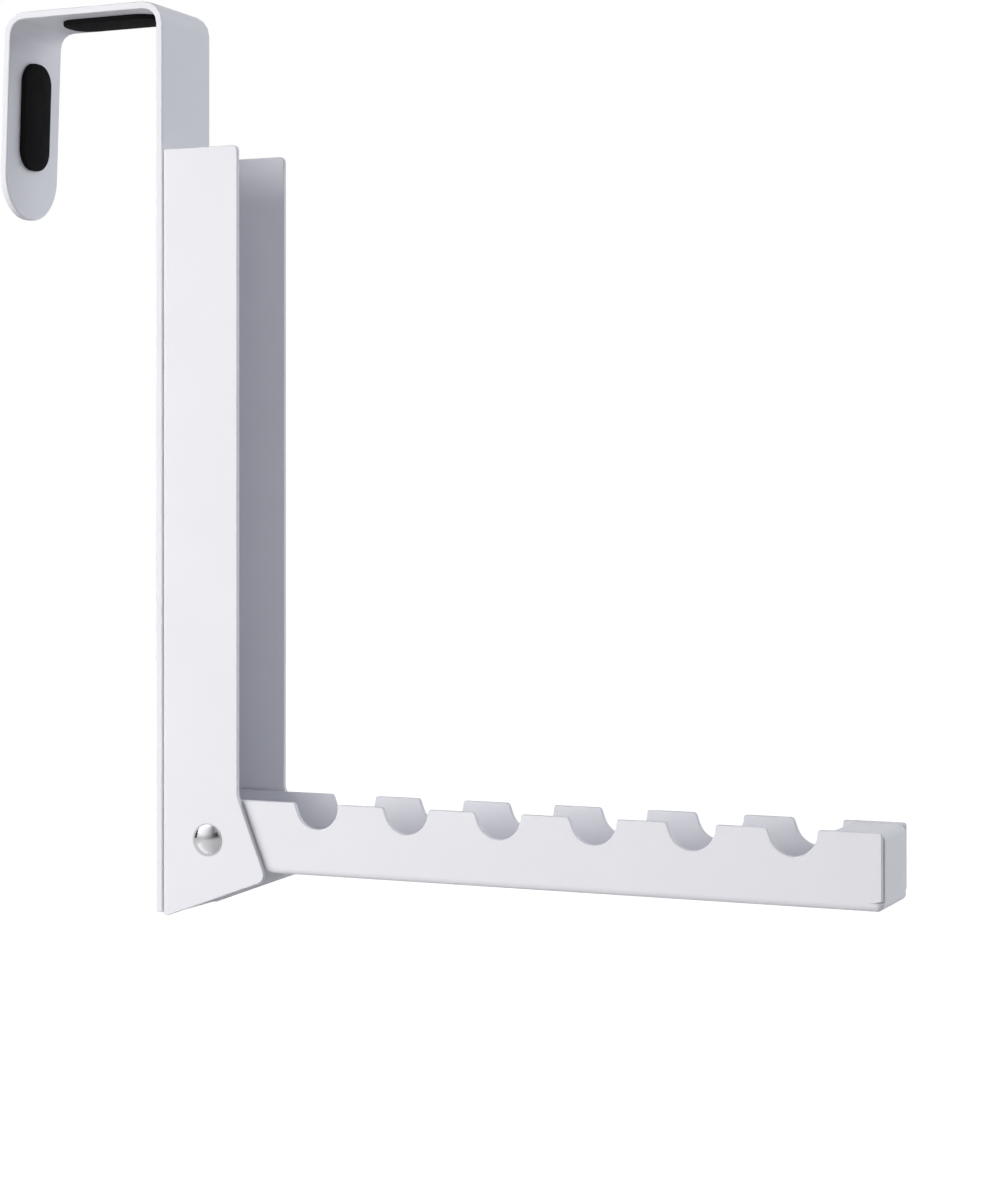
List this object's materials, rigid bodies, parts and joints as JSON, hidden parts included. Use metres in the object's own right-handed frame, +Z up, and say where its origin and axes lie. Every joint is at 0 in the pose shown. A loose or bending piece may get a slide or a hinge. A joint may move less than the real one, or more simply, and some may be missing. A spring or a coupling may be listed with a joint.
{
  "type": "over-door hook rack",
  "caption": "White steel rack that hooks over a door: a padded strap carries a channel, and a notched arm for clothes hangers folds up into it.",
  "frame": {"origin": "middle of the door's top edge, on the underside of the top pad and on the rack's middle plane", "axes": "+X away from the door along the arm, +Y across the rack, +Z up"},
  "size_m": [0.2589, 0.0333, 0.255],
  "materials": {
    "strap_coat": "white satin powder coat",
    "channel_coat": "white satin powder coat",
    "arm_coat": "white satin powder coat",
    "bright_steel": "polished",
    "zinc_steel": "zinc plated",
    "nylon": "natural",
    "black_foam": "matt black foam"
  },
  "bodies": {
    "rack": {"over_door_strap": "strap_coat", "channel": "channel_coat", "pivot_rivet": "bright_steel", "pivot_washer_near": "nylon", "pivot_washer_far": "nylon", "strap_rivet_1": "zinc_steel", "strap_rivet_2": "zinc_steel", "strap_rivet_3": "zinc_steel", "top_pad": "black_foam", "back_leg_pad": "black_foam", "front_pad_upper": "black_foam", "front_pad_lower": "black_foam"},
    "arm": {"arm": "arm_coat", "pivot_spacer": "zinc_steel"}
  },
  "joints": [
    {"name": "arm_fold", "type": "hinge", "parent": "rack", "child": "arm", "pos_m": [0.041, 0, -0.2295], "axis": [0, -1, 0], "range_deg": [0, 90]}
  ]
}
